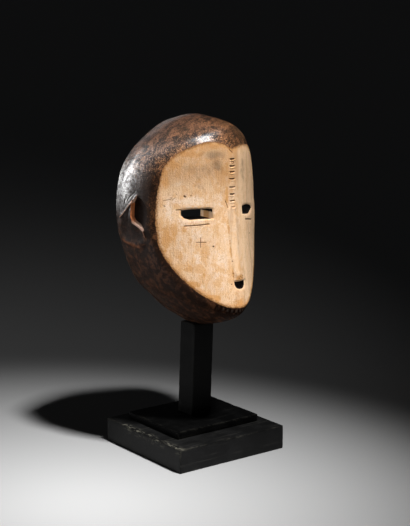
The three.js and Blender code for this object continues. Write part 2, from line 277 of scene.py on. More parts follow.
# Relief and marks on the face: [sideways, height]
faceMarks = {
    "noseHalfWidth": 6.6, "noseRise": 1.2, "noseTop": 298, "noseBottom": 211.5, "noseFade": 8,
    "notchReach": 1.15, "notchLip": 0.4, "notchLipReach": 1.1, "notchLipBelow": 2,
    "notchSag": 0.02, "strokeSearch": 16,
    # notches: height, half width, depth, darkness
    "notches": [
        (346.9, 3.7, 1.3, 1), (339, 4, 1.6, 1), (332.4, 3.8, 1.3, 0.9), (324.8, 4.5, 1.2, 0.8),
        (315.4, 4.4, 1.3, 0.8), (307.6, 3.6, 1.4, 1), (299.9, 3.7, 1.1, 0.5),
        (293, 3.8, 0.9, 0.35),
    ],
    # strokes: path, reach to each side, depth, darkness
    "strokes": [
        # the groove under the right eye is darkened: partly dirt, partly painted shade
        ([(-47.5, 272.4), (-38, 273.2), (-25.7, 274.8)], 1.3, 1, 0.5),
        ([(-44, 270.7), (-37, 271.5), (-31, 272.6)], 0.8, 0.4, 0.35),
        ([(26.9, 275.2), (38, 273), (46.4, 271)], 1, 0.9, 1),
        ([(-37.9, 254.6), (-29.4, 254.6)], 0.6, 0.6, 1),
        ([(-34, 260), (-34.2, 254.6), (-34.4, 248.8)], 0.5, 0.5, 0.85),
        ([(-34.4, 246), (-34, 232)], 0.4, 0.2, 0.35),
        ([(-35, 213), (-34.4, 206), (-33, 203)], 0.5, 0.2, 0.45),
        ([(45.6, 328.5), (45, 323)], 0.6, 0.5, 0.9),
        ([(-8.4, 300.6), (-6.8, 296), (-5.9, 293)], 0.8, 0.6, 0.6),
        ([(-54, 290.6), (-49.4, 291)], 0.8, 0.6, 0.9),
        ([(-3.3, 357.6), (0.4, 354.1)], 0.8, 0.6, 0.9),
        ([(-64, 300.8), (-60.5, 301.8), (-57.6, 302.8)], 0.7, 0.4, 0.75),
        ([(-57, 301.4), (-54.4, 304.2)], 0.6, 0.4, 0.6),
        ([(-48.6, 307), (-45.2, 305.4)], 0.7, 0.5, 0.9),
        ([(-1.5, 343.5), (1.2, 344.6), (2, 342.6), (-0.6, 341.6)], 0.6, 0.5, 0.7),
        ([(3.2, 345.5), (5.4, 343)], 0.7, 0.5, 0.5),
        ([(-7.6, 279), (-6.5, 272), (-6, 262)], 0.9, 0.15, 0.08),
        ([(-6, 260), (-6, 246), (-6.2, 236.5)], 0.8, 0.1, 0.06),
        ([(-6.1, 234), (-6, 222), (-5.9, 213)], 0.9, 0.15, 0.08),
        ([(-29.5, 339.6), (-26.6, 342.6), (-24, 341.6)], 0.6, 0.5, 0.35),
        ([(-19, 345), (-16.6, 341), (-18, 337)], 0.6, 0.5, 0.4),
        ([(-24, 347), (-18, 344)], 0.5, 0.4, 0.35),
    ],
    # pits: place, radius, depth
    "pits": [
        ((-22.7, 249.8), 1.5, 0.9), ((38.3, 256.8), 1.6, 0.9), ((-46.6, 306.6), 1.1, 0.6),
        ((-63.4, 294.8), 1.1, 0.5), ((-57.4, 304.4), 0.8, 0.5), ((-41, 306.6), 0.8, 0.4),
        ((-41.4, 332.6), 0.8, 0.5), ((-5.4, 233), 0.9, 0.5), ((-5.9, 219.5), 0.9, 0.5),
        ((-6, 215.8), 0.8, 0.5), ((-8.6, 207.4), 1, 0.5), ((-52.8, 308), 0.7, 0.4),
        ((-26.4, 322), 0.7, 0.4), ((-55.4, 307), 0.6, 0.4), ((0.8, 213.4), 1.1, 0.4),
        ((3.8, 215), 1.1, 0.4), ((6.2, 213.2), 1.3, 0.4), ((8.4, 215), 1.1, 0.4),
    ],
    # soft stains: place, reach sideways and up, strength; a few are painted shade, one a painted
    # highlight
    "ochreStains": [
        ((-62, 326), 5, 17, 0.8), ((-55, 340), 9, 10, 0.9), ((-40, 353), 15, 6, 0.9),
        ((-20, 361), 14, 5, 0.8), ((-7, 337), 3, 18, 0.6), ((-6.8, 307), 3, 18, 0.7),
        ((-56, 267), 7, 20, 0.6), ((-63, 256), 7, 24, 0.9), ((-53, 241), 5, 12, 0.6),
        ((-46, 226), 6, 9, 0.8), ((-44, 261), 3.5, 20, 0.5), ((-30.5, 238), 3.5, 20, 0.2),
        ((-33, 219), 3, 10, 0.6), ((-44, 208), 12, 8, 0.9), ((-28, 193), 18, 6, 0.9),
        ((3, 213.6), 9, 5, 1.6), ((-2, 187), 14, 6, 0.7), ((-18.4, 251.5), 5, 7, 0.4),
        ((24, 265), 8, 16, 0.4), ((-33.6, 322), 8, 6, 0.6), ((-48, 268), 8, 9, 0.5),
        ((-10, 334), 4, 22, 0.6), ((-31, 243), 10, 6, 0.4), ((0, 333), 3, 30, 0.4),
        ((-6.6, 272), 1.8, 14, 0.9), ((-6.2, 246), 1.6, 16, 0.8), ((-6, 220), 1.6, 12, 0.9),
    ],
    "chalkAndHighlightStains": [
        ((-37, 264), 8, 13, 0.6), ((-38, 238), 5.5, 12, 0.7), ((-38.5, 219), 4, 5, 0.7),
        ((-36, 205), 3.5, 6, 0.7), ((-50, 276), 6, 9, 0.6), ((-18, 225), 12, 30, 0.5),
        # the first one here, a thin band along the right eye's bottom edge, is a painted highlight
        ((-37.4, 277.9), 17, 2.2, 1), ((-12, 270), 5, 24, 0.4), ((-15, 300), 8, 14, 0.5),
        ((-42, 300), 26, 10, 0.7), ((-60, 290), 6, 20, 0.7), ((-50, 319), 12, 7, 0.5),
    ],
    "smokeAndShadeStains": [
        ((-19, 352), 16, 9, 0.9), ((-17, 341), 10, 13, 0.75), ((-28, 337), 9, 7, 0.5),
        ((-42.5, 337), 9, 9, 0.6), ((-33, 322), 9, 8, 0.35),
        ((-33, 319), 7, 9, 0.4), ((-36, 327), 5, 5, 0.4), ((-12, 336), 5, 9, 0.3),
        # the last one here darkens the nose tip's lower right: painted shade
        ((22, 334), 12, 26, 0.5), ((-30, 336), 30, 24, 0.35), ((12.2, 210), 3, 3, 0.8),
        # these darken the nose tip's underside above the mouth and the right eye's top edge:
        # partly stain, partly painted shade
        ((0, 211.2), 11, 1.8, 0.8), ((-35, 292.6), 19, 1.8, 0.8), ((-26, 292.6), 8, 2, 0.9),
    ],
}

# The side walls: paths on the wall in [Y, height], marks under the chin in [turn, along]
wallMarks = {
    "earTop": [(9, 304.5), (16.8, 295.8), (25.6, 286.6), (37.5, 277)],
    "earFromY": -12, "earToY": 52, "earLow": 238, "earHigh": 314,
    # the ear top's crest is painted pale: partly worn wood, partly a painted highlight
    "earTopReach": 1.7, "earTopRise": 1.3, "earTopRubbedAndHighlight": 0.8,
    "earBack": [(37.5, 277), (43.5, 266), (45, 254), (39, 248), (27, 247), (13, 245.8), (4, 250)],
    "earBackReach": 6, "earBackRise": 0.9, "earBackRubbed": 0.46, "earBackRubbedReach": 8,
    "concha": [
        (9, 304.5), (16.8, 295.8), (25.6, 286.6), (37.5, 277), (43.5, 266), (44, 255),
        (38, 249), (27, 247.5), (13, 247), (2, 252), (-1, 258.6), (1.5, 267), (8, 271),
        (16, 275), (18, 280), (17.5, 288), (16.5, 297),
    ],
    "conchaDepth": 2.6, "conchaEdge": 14,
    "recess": [
        (16.5, 298), (17.6, 288), (18.2, 279), (15, 274), (7, 270.6), (1.5, 267), (-3, 270),
        (-5, 282), (-4, 293), (2, 301), (10, 304.5),
    ],
    "recessBack": [(13, 301), (16.5, 298), (17.6, 288), (18.2, 279), (15, 274), (7, 270.6),
                   (1.5, 267)],
    "recessFront": [(1.5, 267), (-3, 270), (-5, 282), (-4, 293), (2, 301), (10, 304.5)],
    "recessDepth": 4.6, "recessStep": 1.5, "recessSlope": 12,
    "recessTop": (297, 300), "recessPale": (271, 277),
    "stepWidth": 1.9, "stepWidens": (273, 277),
    "tail": [(1, 266), (0.2, 262.7), (-1.1, 258.6)],
    "tailReach": 1.2, "tailRise": 1, "tailRubbed": 0.62,
    "scratches": [
        [(11.3, 309.5), (23.9, 296.9)], [(28.1, 297.8), (31.1, 285.4)], [(24, 301), (31, 292)],
    ],
    "scratchReach": 0.8, "scratchDepth": 0.5,
    "rimNick": (51, 230.5), "rimNickReach": 5, "rimNickDepth": 1.5,
    "keelGroove": [(48.3, -111), (34, -105), (9.3, -103.5), (-4.6, -99), (-15.4, -95.5)],
    "keelGrooveReach": 1.3, "keelGrooveDepth": 0.8,
    # short cuts below the face edge at the chin: turn, where each starts and ends along the wall
    "chinCuts": [
        (-107, 2.5, 7.5), (-104, 2.5, 6.5), (-101, 3, 5.5), (-98, 2.6, 5.5), (-95, 2.6, 5.8),
        (-92, 2.6, 5), (-89, 3.4, 5.6), (-86, 2.6, 5), (-83, 2.6, 5.4),
    ],
    "chinCutReach": 1.5, "chinCutDepth": 1.2, "toothRubbed": 0.62,
    "chinLine": [(-106, 8.4), (-101, 7), (-96, 6.8), (-91.5, 6.6), (-86, 6.4), (-81, 6)],
    "chinLineReach": 1, "chinLineDepth": 0.6,
    "chinPerDegree": 1.45,  # millimetres round the chin
    "toolWave": 17, "toolDepth": 0.16, "toolFade": (-30, 12),
    "adzeWave": 11, "adzeDepth": 1.1, "adzeStretch": (1, 0.6, 0.45),
}


def fading(distance, reach):
    share = 1 - (distance / reach) ** 2
    return share * share if share > 0 else 0


# Rises from 0 at low to 1 at high; fallingStep falls from 1 to 0
def smoothStep(low, high, value):
    t = min(max((value - low) / (high - low), 0), 1)
    return t * t * (3 - 2 * t)


def fallingStep(low, high, value):
    return smoothStep(high, low, value)


def distanceToPath(path, x, y):
    nearest = math.inf
    for (x0, y0), (x1, y1) in zip(path, path[1:]):
        dx, dy = x1 - x0, y1 - y0
        share = min(max(((x - x0) * dx + (y - y0) * dy) / (dx * dx + dy * dy), 0), 1)
        nearest = min(nearest, math.hypot(x - x0 - share * dx, y - y0 - share * dy))
    return nearest


def insideLoop(loop, x, y):
    inside = False
    for (x0, y0), (x1, y1) in zip(loop, loop[1:] + loop[:1]):
        if (y0 > y) != (y1 > y) and x < x0 + (y - y0) * (x1 - x0) / (y1 - y0):
            inside = not inside
    return inside


def piercingDistance(x, y):
    nearest = math.inf
    for name in piercings["paintedShadeInside"]:
        loop = piercings[name]
        if min(abs(x - px) + abs(y - py) for px, py in loop) > piercings["searchReach"]:
            continue
        if insideLoop(loop, x, y):
            return 0
        nearest = min(nearest, distanceToPath(loop + loop[:1], x, y))
    return nearest


# How deep the face is carved at a place, and how dark it is there: dirt and painted shade
def faceCarving(side, height):
    marks = faceMarks
    fromEnd = min(height - marks["noseBottom"], marks["noseTop"] - height)
    full = smoothStep(0, marks["noseFade"], fromEnd)
    across = abs(side) / (marks["noseHalfWidth"] * (0.6 + 0.4 * full))
    rise = marks["noseRise"] * full * (1 - across ** 3) if across < 1 else 0
    depth, dirtAndShade = -max(rise, 0), 0
    for notchHeight, halfWidth, notchDepth, darkness in marks["notches"]:
        above = height - notchHeight - marks["notchSag"] * side * side
        if abs(above) > 4 or abs(side) > halfWidth:
            continue
        ends = 1 - (side / halfWidth) ** 4
        groove = fading(above, marks["notchReach"]) * ends
        depth += notchDepth * groove
        lip = fading(above + marks["notchLipBelow"], marks["notchLipReach"])
        depth -= marks["notchLip"] * lip * ends
        dirtAndShade = max(dirtAndShade, darkness * min(1.5 * groove, 1))
    for path, reach, strokeDepth, darkness in marks["strokes"]:
        if min(abs(side - x) + abs(height - y) for x, y in path) > marks["strokeSearch"]:
            continue
        groove = fading(distanceToPath(path, side, height), reach)
        depth += strokeDepth * groove
        dirtAndShade = max(dirtAndShade, darkness * groove)
    for (x, y), radius, pitDepth in marks["pits"]:
        if abs(side - x) + abs(height - y) < 3 * radius:
            pit = fading(math.hypot(side - x, height - y), radius)
            depth += pitDepth * pit
            dirtAndShade = max(dirtAndShade, pit)
    worn = fading(piercingDistance(side, height), piercings["wornReach"])
    return depth + piercings["wornDepth"] * worn, dirtAndShade


# How strongly the soft marks of one kind show at a place: stains, and in a few places painted
# shade and a painted highlight
def softMarkStrength(kind, side, height):
    deepest = 0
    for (x, y), reach, reachUp, strength in faceMarks[kind + "Stains"]:
        if abs(side - x) < reach and abs(height - y) < reachUp:
            away = math.hypot((side - x) / reach, (height - y) / reachUp)
            deepest = max(deepest, strength * fading(away, 1))
    return deepest


# How far the ear's surface rises above the wall, its dirt and painted shade, how rubbed it is and
# how pale
def earCarving(y, height):
    marks = wallMarks
    nearEar = marks["earFromY"] < y < marks["earToY"]
    if not (nearEar and marks["earLow"] < height < marks["earHigh"]):
        return 0, 0, 0, 0
    toTop = distanceToPath(marks["earTop"], y, height)
    toBack = distanceToPath(marks["earBack"], y, height)
    toTail = distanceToPath(marks["tail"], y, height)
    rise = marks["earTopRise"] * fading(toTop, marks["earTopReach"])
    rise += marks["earBackRise"] * fading(toBack, marks["earBackReach"])
    rise += marks["tailRise"] * fading(toTail, marks["tailReach"])
    for scratch in marks["scratches"]:
        scratched = fading(distanceToPath(scratch, y, height), marks["scratchReach"])
        rise -= marks["scratchDepth"] * scratched
    rubbed, dirtAndShade = 0, 0
    if insideLoop(marks["concha"], y, height):
        toLoop = distanceToPath(marks["concha"] + marks["concha"][:1], y, height)
        rise -= marks["conchaDepth"] * smoothStep(0, marks["conchaEdge"], toLoop)
        # the concha is darkened: painted shade
        dirtAndShade = 0.8 * smoothStep(1, 6, toLoop)
    toStep = distanceToPath(marks["recessBack"], y, height)
    if insideLoop(marks["recess"], y, height):
        toFront = distanceToPath(marks["recessFront"], y, height)
        depth = smoothStep(0, marks["recessStep"], toStep)
        rise -= marks["recessDepth"] * depth * smoothStep(0, marks["recessSlope"], toFront + 3)
        rubbed = fallingStep(marks["recessStep"] - 0.5, marks["recessStep"] + 0.5, toStep)
        # the recess's floor is darkened: painted shade
        dirtAndShade = (1 - rubbed) * smoothStep(-1, 2, toFront)
    else:
        widened = marks["stepWidth"] * fallingStep(*marks["stepWidens"], height)
        rubbed = fallingStep(0.1, 0.9, toStep - widened)
    rubbed *= fallingStep(*marks["recessTop"], height)
    # the crest of the ear top is partly a painted highlight
    crest = max(marks["earTopRubbedAndHighlight"] * fallingStep(0.4, 1.1, toTop),
                marks["tailRubbed"] * fallingStep(0.3, 1.1, toTail))
    rim = marks["earBackRubbed"] * fallingStep(0, marks["earBackRubbedReach"], toBack)
    rim *= fallingStep(249, 256, height)
    # low down, where the recess's back wall faces up, it is painted paler: partly worn wood,
    # partly painted light
    pale = max(fallingStep(*marks["recessPale"], height) if rubbed > rim else 0, crest)
    return rise, dirtAndShade, max(rubbed, crest, rim), pale


# How far the side wall rises or sinks at a point, its dirt and painted shade, its rubbed ridges
# and their paleness
def wallCarving(point, along):
    marks = wallMarks
    rise, dirtAndShade, rubbed, pale = 0, 0, 0, 0
    if abs(point.x) > 55:
        rise, dirtAndShade, rubbed, pale = earCarving(point.y, point.z)
        nickY, nickHeight = marks["rimNick"]
        nick = fading(math.hypot(point.y - nickY, point.z - nickHeight), marks["rimNickReach"])
        rise -= marks["rimNickDepth"] * nick
    turn = math.degrees(math.atan2(point.z - maskDesign["centreHeight"], -abs(point.x)))
    if -125 < turn < -85 and point.z < 200:
        toGroove = distanceToPath(marks["keelGroove"], point.y, turn)
        groove = fading(toGroove, marks["keelGrooveReach"])
        rise -= marks["keelGrooveDepth"] * groove
        dirtAndShade = max(dirtAndShade, 0.6 * groove)
    turn = math.degrees(math.atan2(point.z - maskDesign["centreHeight"], point.x))
    if -112 < turn < -76 and 0 < along < 14:
        perDegree = marks["chinPerDegree"]
        for cutTurn, cutStart, cutEnd in marks["chinCuts"]:
            beyond = max(cutStart - along, along - cutEnd, 0)
            away = math.hypot((turn - cutTurn) * perDegree, beyond)
            cut = fading(away, marks["chinCutReach"])
            rise -= marks["chinCutDepth"] * cut
            dirtAndShade = max(dirtAndShade, cut)
        line = [(place * perDegree, depth) for place, depth in marks["chinLine"]]
        toLine = distanceToPath(line, turn * perDegree, along)
        groove = fading(toLine, marks["chinLineReach"])
        rise -= marks["chinLineDepth"] * groove
        dirtAndShade = max(dirtAndShade, 0.9 * groove)
        if 2 < along < 6.5 and -103 < turn < -80:
            rubbed = marks["toothRubbed"] * (1 - dirtAndShade)
    return rise, dirtAndShade, rubbed, pale


# Where the skin is divided finer. Each box has its level, 1 halved or 2 halved twice, then from
# and to sideways, or in Y on the walls, then from and to in height
finePlaces = {
    "edgeReach": 3.5,
    "face": [
        (2, -5, 5, 290, 350),  # notches
        (1, -56, -18, 268, 296), (1, 18, 56, 268, 296),  # eyes
        (1, -42, -19, 246, 262), (1, 35, 41, 254, 260),  # cross and pit on the cheeks
        (1, -65, -49, 293, 307),  # cracks at the temple
        (1, -9, 13, 197, 214),  # mouth
    ],
    "nose": (1, -9, 9, 203, 362), "poleReach": 12,
    "ears": [(2, -7, 22, 264, 303), (1, -10, 49, 241, 311)], "earsBeyond": 60,
    "chinWithin": 34, "chinBelow": 186, "chinReach": 13,
}


def levelIn(box, across, height):
    level, left, right, low, high = box
    return level if left < across < right and low < height < high else 0


def fineness(point, place, along):
    fine = finePlaces
    side, y, height = point
    if place > 2:
        return 0
    level = 1 if abs(along) < fine["edgeReach"] else 0
    if place <= 1:
        level = max(level, *(levelIn(box, side, height) for box in fine["face"]))
        if math.hypot(side, height - maskDesign["centreHeight"]) > fine["poleReach"]:
            level = max(level, levelIn(fine["nose"], side, height))
    elif abs(side) > fine["earsBeyond"]:
        level = max(level, *(levelIn(box, y, height) for box in fine["ears"]))
    elif abs(side) < fine["chinWithin"] and height < fine["chinBelow"]:
        level = 2 if along < fine["chinReach"] else level
    return level


# What each corner of the skin carries for its material. The corners of a piercing count as lying
# far inside the face edge
skinLayers = ("fromEdge", "hollow", "dirtAndShade", "rubbed", "ochre", "chalkAndHighlight", "smokeAndShade", "skin")
insideFace = -25


def shapeMask():
    design = maskDesign
    rowCount = design["rows"][-1][0]
    bm = bmesh.new()
    bmesh.ops.create_grid(bm, x_segments=design["columns"], y_segments=rowCount, size=0.5)

    def gridPlace(co):
        turn = round(design["seamTurn"] + 360 * (co.x + 0.5), 5)
        return turn, placeOfRow(rowCount * (co.y + 0.5))

    for level in (1, 2):
        finer = []
        for face in bm.faces:
            turn, place = gridPlace(face.calc_center_median())
            point, along = skinPoint(turn, place)
            if fineness(point, place, along) >= level:
                finer.append(face)
        edges = list(dict.fromkeys(edge for face in finer for edge in face.edges))
        bmesh.ops.subdivide_edges(bm, edges=edges, cuts=1, use_grid_fill=True)
    print("mask grid:", len(bm.faces), "faces")

    bm.faces.layers.float.new("cut")
    layers = {name: bm.verts.layers.float.new(name) for name in skinLayers}
    corners = []
    for vert in bm.verts:
        turn, place = gridPlace(vert.co)
        point, along = skinPoint(turn, place)
        vert[layers["fromEdge"]] = along
        vert[layers["hollow"]] = smoothStep(2, 3, place)
        vert[layers["skin"]] = 1
        if place <= 1:
            depth, dirtAndShade = faceCarving(point.x, point.z)
            fade = smoothStep(0, 1, -along) if along > -1 else 1
            point.y += depth * fade
            vert[layers["dirtAndShade"]] = dirtAndShade * fade
            for kind in ("ochre", "chalkAndHighlight", "smokeAndShade"):
                vert[layers[kind]] = softMarkStrength(kind, point.x, point.z)
        atRim = (abs(place - 2) < design["softRimOuter"]
                 or abs(place - 3) < design["softRimInner"])
        if abs(along) < design["softEdge"] or atRim:
            corners.append(vert)
        vert.co = point
    bmesh.ops.remove_doubles(bm, verts=bm.verts, dist=0.01)
    bmesh.ops.recalc_face_normals(bm, faces=bm.faces)
    corners = [vert for vert in corners if vert.is_valid]
    for _ in range(design["softSteps"]):
        bmesh.ops.smooth_vert(bm, verts=corners, factor=0.5, use_axis_x=True, use_axis_y=True,
                              use_axis_z=True)
    bm.normal_update()

    marks = wallMarks
    for vert in bm.verts:
        point, along = vert.co, vert[layers["fromEdge"]]
        hollow = vert[layers["hollow"]]
        tool = noise.noise(point / marks["toolWave"]) - 0.6
        shift = marks["toolDepth"] * tool * smoothStep(*marks["toolFade"], along)
        if hollow > 0.5:
            stretched = Vector([a * b for a, b in zip(point, marks["adzeStretch"])])
            adze = noise.noise(stretched / marks["adzeWave"])
            shift = marks["adzeDepth"] * (adze - 0.5) * smoothStep(0.5, 1, hollow)
        elif hollow == 0 and along > 0:
            rise, dirtAndShade, rubbed, pale = wallCarving(point, along)
            shift += rise * smoothStep(0, 1, along)
            vert[layers["dirtAndShade"]] = max(dirtAndShade, vert[layers["dirtAndShade"]])
            vert[layers["rubbed"]] = rubbed
            vert[layers["chalkAndHighlight"]] = max(pale, vert[layers["chalkAndHighlight"]])
        vert.co = point + vert.normal * shift
    bm.normal_update()
    return bm


# A bar with a given outline, drawn out along Y, that cuts one piercing; 1 leaves black walls,
# painted shade
def piercingBar(outline, paintedShadeInside):
    bar = bmesh.new()
    layers = {name: bar.verts.layers.float.new(name) for name in skinLayers}
    loop = [bar.verts.new((side, piercings["front"], height)) for side, height in outline]
    front = bar.faces.new(loop)
    drawn = bmesh.ops.extrude_face_region(bar, geom=[front], use_keep_orig=True)["geom"]
    moved = [item for item in drawn if isinstance(item, bmesh.types.BMVert)]
    bmesh.ops.translate(bar, verts=moved, vec=(0, piercings["back"] - piercings["front"], 0))
    bmesh.ops.recalc_face_normals(bar, faces=bar.faces)
    cutLayer = bar.faces.layers.float.new("cut")
    for face in bar.faces:
        face[cutLayer] = 0.5 + 0.5 * paintedShadeInside
    for vert in bar.verts:
        vert[layers["fromEdge"]] = insideFace
        vert[layers["skin"]] = 1
    return bar


def meshObject(name, bm, scale=metre, offset=(0, 0, 0)):
    bmesh.ops.transform(bm, matrix=Matrix.Translation(offset) @ Matrix.Scale(scale, 4),
                        verts=bm.verts)
    mesh = bpy.data.meshes.new(name)
    bm.to_mesh(mesh)
    bm.free()
    made = bpy.data.objects.new(name, mesh)
    bpy.context.scene.collection.objects.link(made)
    return made


def cutAway(target, cutters):
    for cutter in cutters:
        cut = target.modifiers.new(cutter.name, "BOOLEAN")
        cut.operation = "DIFFERENCE"
        cut.solver = "EXACT"
        cut.object = cutter
    bpy.context.view_layer.update()
    evaluated = target.evaluated_get(bpy.context.evaluated_depsgraph_get())
    cutMesh = bpy.data.meshes.new_from_object(evaluated)
    target.modifiers.clear()
    target.data = cutMesh
    for cutter in cutters:
        bpy.data.objects.remove(cutter)


maskPlace = (maskDesign["middleX"] * metre, 0, 0)
mask = meshObject("maskCarving", shapeMask(), offset=maskPlace)
print("mask skin:", len(mask.data.polygons), "faces")
bars = [meshObject(name + "Bar", piercingBar(piercings[name], paintedShadeInside), offset=maskPlace)
        for name, paintedShadeInside in piercings["paintedShadeInside"].items()]
cutAway(mask, bars)

# The cut's own new corners carry no values yet: they belong to the pale face
attributes = mask.data.attributes
fresh = [index for index, item in enumerate(attributes["skin"].data) if item.value < 0.5]
for index in fresh:
    x, y, z = (value / metre for value in mask.data.vertices[index].co)
    behind = y - faceY(x - maskDesign["middleX"], z)
    attributes["fromEdge"].data[index].value = insideFace
    attributes["hollow"].data[index].value = 1 if behind > maskDesign["hollowBehind"] else 0
    attributes["skin"].data[index].value = 1
print("mask cut:", len(mask.data.polygons), "faces,", len(fresh), "new corners")
mask.data.shade_smooth()
mask.data.set_sharp_from_angle(angle=math.radians(maskDesign["sharpFrom"]))


# A shader socket that takes part in plain arithmetic
class Wire:
    def __init__(self, tree, socket):
        self.tree = tree
        self.socket = socket

    def node(self, kind, settings, inputs, output=0):
        made = self.tree.nodes.new(kind)
        for name, value in settings.items():
            setattr(made, name, value)
        for name, value in inputs.items():
            if isinstance(value, Wire):
                self.tree.links.new(value.socket, made.inputs[name])
            else:
                made.inputs[name].default_value = value
        return Wire(self.tree, made.outputs[output])

    def maths(self, operation, *values):
        return self.node("ShaderNodeMath", {"operation": operation}, dict(enumerate(values)))

    def size(self):
        return self.maths("ABSOLUTE", self)

    def __add__(self, other):
        return self.maths("ADD", self, other)

    def __sub__(self, other):
        return self.maths("SUBTRACT", self, other)

    def __rsub__(self, other):
        return self.maths("SUBTRACT", other, self)

    def __mul__(self, other):
        return self.maths("MULTIPLY", self, other)

    __radd__ = __add__
    __rmul__ = __mul__

    def rising(self, low, high):
        return self.node("ShaderNodeMapRange", {"interpolation_type": "SMOOTHSTEP"},
                         {"Value": self, "From Min": low, "From Max": high})

    def falling(self, low, high):
        return 1 - self.rising(low, high)

    # The numbers are the colour sockets of a Mix node
    def mixed(self, factor, first, second):
        return self.node("ShaderNodeMix", {"data_type": "RGBA"},
                         {0: factor, 6: first, 7: second}, 2)

    def blended(self, factor, other):
        return self.mixed(factor, self, other)

    def scaled(self, x, y, z):
        return self.node("ShaderNodeMapping", {}, {"Vector": self, "Scale": (x, y, z)})

    def noise(self, scale, detail, roughness, distortion=0):
        return self.node("ShaderNodeTexNoise", {}, {
            "Vector": self, "Scale": scale, "Detail": detail, "Roughness": roughness,
            "Distortion": distortion})


class Surface:
    def __init__(self, name, **constants):
        self.material = bpy.data.materials.new(name)
        self.material.use_nodes = True
        self.tree = self.material.node_tree
        self.shader = self.tree.nodes["Principled BSDF"]
        for socket, value in constants.items():
            self.shader.inputs[socket.replace("_", " ")].default_value = value
        coordinates = self.tree.nodes.new("ShaderNodeTexCoord")
        self.place = Wire(self.tree, coordinates.outputs["Object"])

    def attribute(self, name):
        return self.place.node("ShaderNodeAttribute", {"attribute_name": name}, {}, 2)

    def part(self, index):
        return self.place.node("ShaderNodeSeparateXYZ", {}, {"Vector": self.place}, index)

    def feed(self, **wires):
        for socket, wire in wires.items():
            self.tree.links.new(wire.socket, self.shader.inputs[socket.replace("_", " ")])

    def bump(self, height, depth, strength):
        raised = self.place.node("ShaderNodeBump", {}, {
            "Height": height, "Distance": depth, "Strength": strength})
        self.feed(Normal=raised)


def grey(brightness):
    return (brightness,) * 3 + (1,)


# Colours of the mask's wood and patina, and of its painted light and shade
maskFinish = {
    "pale": (0.72, 0.485, 0.30, 1),
    "chalkAndHighlight": (0.80, 0.645, 0.51, 1),
    "ochre": (0.60, 0.29, 0.09, 1),
    "grain": (0.45, 0.235, 0.10, 1),
    "tan": (0.37, 0.195, 0.08, 1),
    "smokeAndShade": (0.19, 0.125, 0.08, 1),
    "fringe": (0.20, 0.075, 0.022, 1),
    "dirtAndShade": (0.014, 0.008, 0.005, 1),
    "patina": (0.013, 0.006, 0.004, 1),
    "brown": (0.12, 0.048, 0.022, 1),
    "rust": (0.32, 0.14, 0.053, 1),
    # light flecks: partly pale specks, partly painted glints
    "fleckAndPaintedGlint": (0.72, 0.46, 0.30, 1),
    "umber": (0.024, 0.012, 0.008, 1),
    "raw": (0.46, 0.15, 0.055, 1),
    "rawPale": (0.62, 0.40, 0.30, 1),
    # a lighter pale for faces that get too little light: painted light
    "paintedLightPale": (0.85, 0.60, 0.38, 1),
    "tooth": (0.05, 0.04, 0.032, 1),
    "inside": (0.10, 0.055, 0.030, 1),
    # black for the insides of the piercings: painted shade
    "paintedShade": (0.006, 0.004, 0.003, 1),
}

# Where the mask's finishes begin and end: heights, sideways places and depths, in metres
maskZones = {
    "crown": (0.316, 0.358), "crownSparks": (0.325, 0.36),
    "chalkyCheeks": (0.29, 0.33), "tanForehead": (0.303, 0.335), "ochreJaw": (0.24, 0.29),
    "farSide": (0.012, 0.024), "nose": (-0.002, 0.004),
    "besideFace": (0.22, 0.27), "umberSides": (0.21, 0.27), "brownSides": (0.25, 0.29),
    "blackTeeth": (0.18, 0.2),
    "eyeWallStart": (-0.049, -0.045), "eyeWallEnd": (-0.038, -0.035),
    "eyeWallShade": (-0.0156, -0.0146), "lidShade": (0.2878, 0.2892),
    "gloss": (0.262, 0.298), "crumbs": (0.345, 0.36), "glossInFront": (0.342, 0.358),
}


